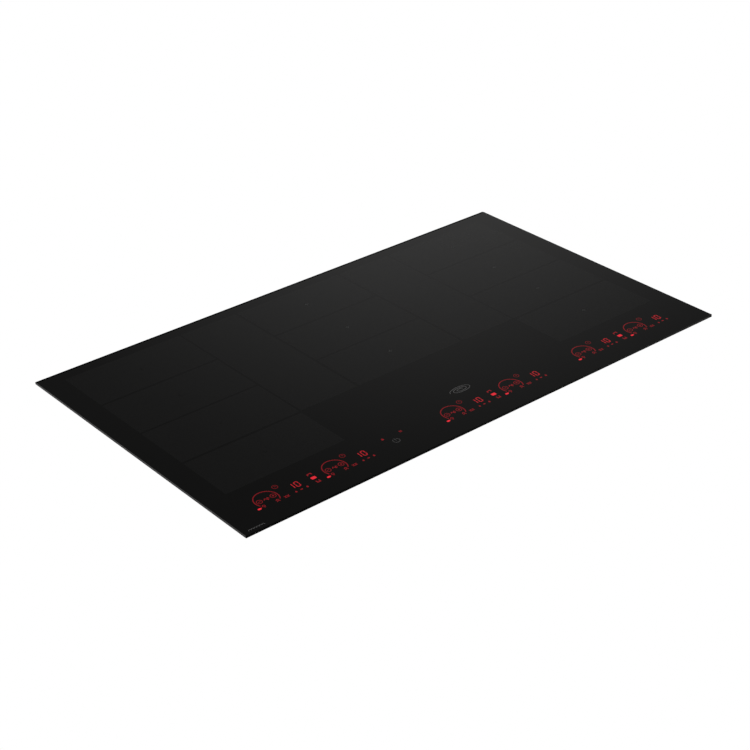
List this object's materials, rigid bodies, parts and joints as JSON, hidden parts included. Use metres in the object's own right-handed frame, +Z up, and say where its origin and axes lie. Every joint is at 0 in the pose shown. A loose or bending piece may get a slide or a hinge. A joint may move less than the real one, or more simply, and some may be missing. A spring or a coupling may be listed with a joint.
{
  "type": "induction cooktop",
  "caption": "Wide built-in induction cooktop: black glass plate with printed cooking cells and lit touch controls over a shallow steel casing with coils, fans and power boards.",
  "frame": {"origin": "centre of the casing's flat underside", "axes": "+Z up out of the glass, +X to the cook's right along the long side, +Y away from the cook"},
  "size_m": [0.9, 0.52, 0.056],
  "materials": {
    "black_glass": "polished black glass-ceramic",
    "foam_tape": "closed-cell foam",
    "silicone": "satin silicone",
    "galvanised_steel": "galvanised sheet",
    "spring_steel": "bright rolled strip",
    "aluminium": "mill finish",
    "litz_copper": "enamelled copper strand",
    "mica": "pressed mica",
    "pale_plastic": "moulded, fine grain",
    "dark_plastic": "moulded, fine grain",
    "circuit_board": "solder mask",
    "zone_print": "screen print on glass",
    "red_light": "lit display segment",
    "grey_print": "grey print on glass"
  },
  "bodies": {
    "casing": {"glass_top": "black_glass", "sealing_tape": "foam_tape", "glass_adhesive": "silicone", "support_frame": "galvanised_steel", "base_pan": "galvanised_steel", "tray_spring_left_front": "spring_steel", "tray_spring_left_back": "spring_steel", "tray_spring_middle_front": "spring_steel", "tray_spring_middle_back": "spring_steel", "tray_spring_right_front": "spring_steel", "tray_spring_right_back": "spring_steel", "heat_sink_left": "aluminium", "heat_sink_middle": "aluminium", "heat_sink_right": "aluminium", "filter_choke": "litz_copper", "touch_carrier_left": "pale_plastic", "touch_carrier_middle": "pale_plastic", "touch_carrier_right": "pale_plastic", "terminal_block": "pale_plastic", "electronics_tray": "dark_plastic", "fan_housing_left": "dark_plastic", "fan_housing_right": "dark_plastic", "cable_clamp": "dark_plastic", "power_board_left": "circuit_board", "power_board_middle": "circuit_board", "power_board_right": "circuit_board", "filter_board": "circuit_board", "touch_board_left": "circuit_board", "touch_board_middle": "circuit_board", "touch_board_right": "circuit_board"},
    "coil_bed_left": {"coil_tray_left": "aluminium", "coil_former_left": "pale_plastic", "mica_sheet_left": "mica", "coil_left_1": "litz_copper", "coil_left_2": "litz_copper", "coil_left_3": "litz_copper", "coil_left_4": "litz_copper"},
    "coil_bed_middle": {"coil_tray_middle": "aluminium", "coil_former_middle": "pale_plastic", "mica_sheet_middle": "mica", "coil_middle_1": "litz_copper", "coil_middle_2": "litz_copper", "coil_middle_3": "litz_copper"},
    "coil_bed_right": {"coil_tray_right": "aluminium", "coil_former_right": "pale_plastic", "mica_sheet_right": "mica", "coil_right_1": "litz_copper", "coil_right_2": "litz_copper", "coil_right_3": "litz_copper", "coil_right_4": "litz_copper"},
    "fan_rotor_left": {"fan_rotor_left": "dark_plastic"},
    "fan_rotor_right": {"fan_rotor_right": "dark_plastic"},
    "terminal_cover": {"terminal_cover": "dark_plastic"},
    "spring_clip_left_front": {"spring_clip_left_front": "spring_steel"},
    "spring_clip_left_back": {"spring_clip_left_back": "spring_steel"},
    "spring_clip_right_front": {"spring_clip_right_front": "spring_steel"},
    "spring_clip_right_back": {"spring_clip_right_back": "spring_steel"}
  },
  "joints": [
    {"name": "coil_bed_left_press", "type": "slide", "parent": "casing", "child": "coil_bed_left", "axis": [0, 0, -1], "range_m": [0, 0.003], "stiffness_N_per_m": 8000, "springref_m": -0.008, "deforming": ["tray_spring_left_front", "tray_spring_left_back"]},
    {"name": "coil_bed_middle_press", "type": "slide", "parent": "casing", "child": "coil_bed_middle", "axis": [0, 0, -1], "range_m": [0, 0.003], "stiffness_N_per_m": 8000, "springref_m": -0.008, "deforming": ["tray_spring_middle_front", "tray_spring_middle_back"]},
    {"name": "coil_bed_right_press", "type": "slide", "parent": "casing", "child": "coil_bed_right", "axis": [0, 0, -1], "range_m": [0, 0.003], "stiffness_N_per_m": 8000, "springref_m": -0.008, "deforming": ["tray_spring_right_front", "tray_spring_right_back"]},
    {"name": "fan_left_spin", "type": "hinge", "parent": "casing", "child": "fan_rotor_left", "pos_m": [-0.156, 0.06, 0.02], "axis": [0, 0, 1], "continuous": true},
    {"name": "fan_right_spin", "type": "hinge", "parent": "casing", "child": "fan_rotor_right", "pos_m": [0.156, 0.06, 0.02], "axis": [0, 0, 1], "continuous": true},
    {"name": "terminal_cover_hinge", "type": "hinge", "parent": "casing", "child": "terminal_cover", "pos_m": [-0.373, 0.24, 0.008], "axis": [-1, 0, 0], "range_deg": [0, 90]},
    {"name": "spring_clip_left_front_flex", "type": "hinge", "parent": "casing", "child": "spring_clip_left_front", "pos_m": [-0.4289, -0.15, 0.018], "axis": [0, 1, 0], "range_deg": [0, 8], "stiffness_Nm_per_rad": 3},
    {"name": "spring_clip_left_back_flex", "type": "hinge", "parent": "casing", "child": "spring_clip_left_back", "pos_m": [-0.4289, 0.15, 0.018], "axis": [0, 1, 0], "range_deg": [0, 8], "stiffness_Nm_per_rad": 3},
    {"name": "spring_clip_right_front_flex", "type": "hinge", "parent": "casing", "child": "spring_clip_right_front", "pos_m": [0.4289, -0.15, 0.018], "axis": [0, -1, 0], "range_deg": [0, 8], "stiffness_Nm_per_rad": 3},
    {"name": "spring_clip_right_back_flex", "type": "hinge", "parent": "casing", "child": "spring_clip_right_back", "pos_m": [0.4289, 0.15, 0.018], "axis": [0, -1, 0], "range_deg": [0, 8], "stiffness_Nm_per_rad": 3}
  ]
}
